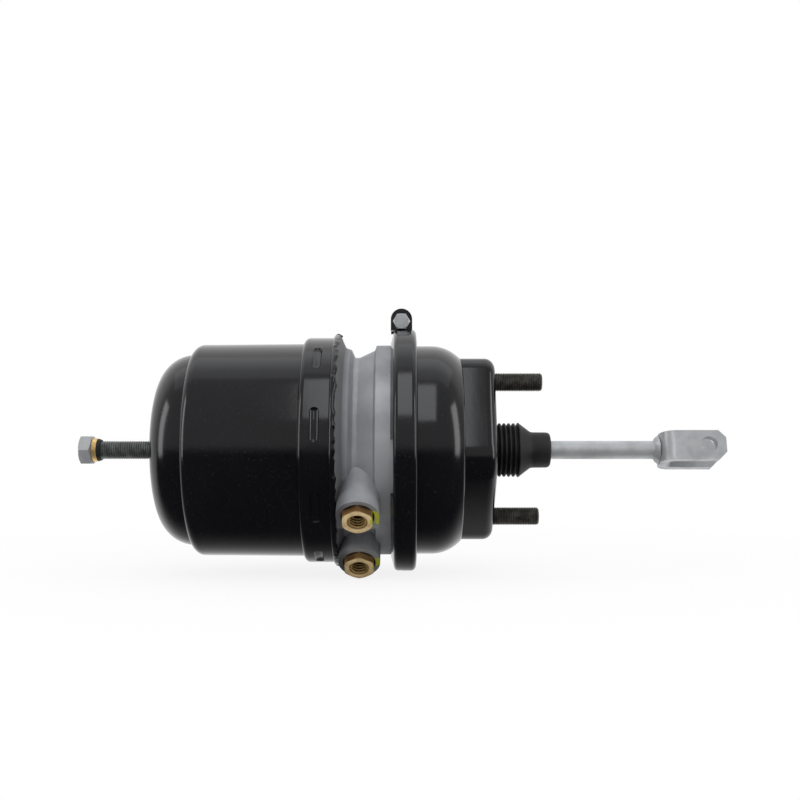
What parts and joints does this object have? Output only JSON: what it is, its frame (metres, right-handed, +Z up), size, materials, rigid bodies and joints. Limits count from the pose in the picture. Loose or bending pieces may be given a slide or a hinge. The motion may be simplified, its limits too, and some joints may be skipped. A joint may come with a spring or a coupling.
{
  "type": "air brake chamber",
  "caption": "Combination spring brake chamber with clamped front housing, mounting studs, push rod and fork end, shown with the release bolt wound out.",
  "frame": {"origin": "centre of the mounting face, midway between the two studs, on the push rod's axis", "axes": "+X along the push rod, out of the chamber; +Z up, towards the clamp bolt; -Y towards the two air ports"},
  "size_m": [0.5659, 0.2153, 0.2306],
  "materials": {
    "black_gloss_paint": "gloss",
    "cast_aluminium": "matte",
    "brass": "satin",
    "zinc_plated_steel": "satin",
    "dark_steel": "satin",
    "spring_steel": "satin",
    "black_rubber": "matte",
    "guide_plastic": "matte"
  },
  "bodies": {
    "housing": {"spring_housing": "black_gloss_paint", "centre_flange": "cast_aluminium", "port_fitting_parking": "brass", "port_fitting_service": "brass", "port_seal_rings": "black_rubber", "clamp_ring": "black_gloss_paint", "clamp_bolt": "zinc_plated_steel", "clamp_nut": "zinc_plated_steel", "front_housing": "black_gloss_paint", "stud_backing_plate": "dark_steel", "mounting_studs": "dark_steel", "diaphragm": "black_rubber", "push_rod_boot": "black_rubber", "return_spring": "spring_steel", "power_spring": "spring_steel", "tube_bush": "guide_plastic", "tube_seal": "black_rubber", "tube_seal_retainer": "zinc_plated_steel", "spigot_seal": "black_rubber", "release_bush": "zinc_plated_steel"},
    "push_plate": {"push_plate": "zinc_plated_steel", "socket_retainer": "zinc_plated_steel"},
    "push_rod": {"push_rod": "zinc_plated_steel", "clevis": "zinc_plated_steel"},
    "spring_piston": {"spring_piston": "cast_aluminium", "piston_seal": "black_rubber", "piston_guide_ring": "guide_plastic", "push_tube": "zinc_plated_steel", "tube_shoulder_ring": "zinc_plated_steel"},
    "release_bolt": {"release_bolt": "dark_steel", "release_bolt_disc": "dark_steel", "release_bolt_hexagon": "zinc_plated_steel", "release_bolt_collar": "brass", "release_bolt_seal": "black_rubber"}
  },
  "joints": [
    {"name": "push_stroke", "type": "slide", "parent": "housing", "child": "push_plate", "axis": [1, 0, 0], "range_m": [0, 0.057], "deforming": ["diaphragm", "return_spring", "power_spring", "push_rod_boot"]},
    {"name": "push_rod_turn", "type": "hinge", "parent": "push_plate", "child": "push_rod", "pos_m": [-0.0958, 0, 0], "axis": [1, 0, 0], "continuous": true},
    {"name": "spring_piston_stroke", "type": "slide", "parent": "housing", "child": "spring_piston", "axis": [1, 0, 0], "range_m": [0, 0.057]},
    {"name": "release_bolt_travel", "type": "slide", "parent": "housing", "child": "release_bolt", "axis": [1, 0, 0], "range_m": [0, 0.057]}
  ],
  "couplings": [
    {"joint": "spring_piston_stroke", "follows": "push_stroke", "ratio": 1},
    {"joint": "release_bolt_travel", "follows": "push_stroke", "ratio": 1}
  ]
}
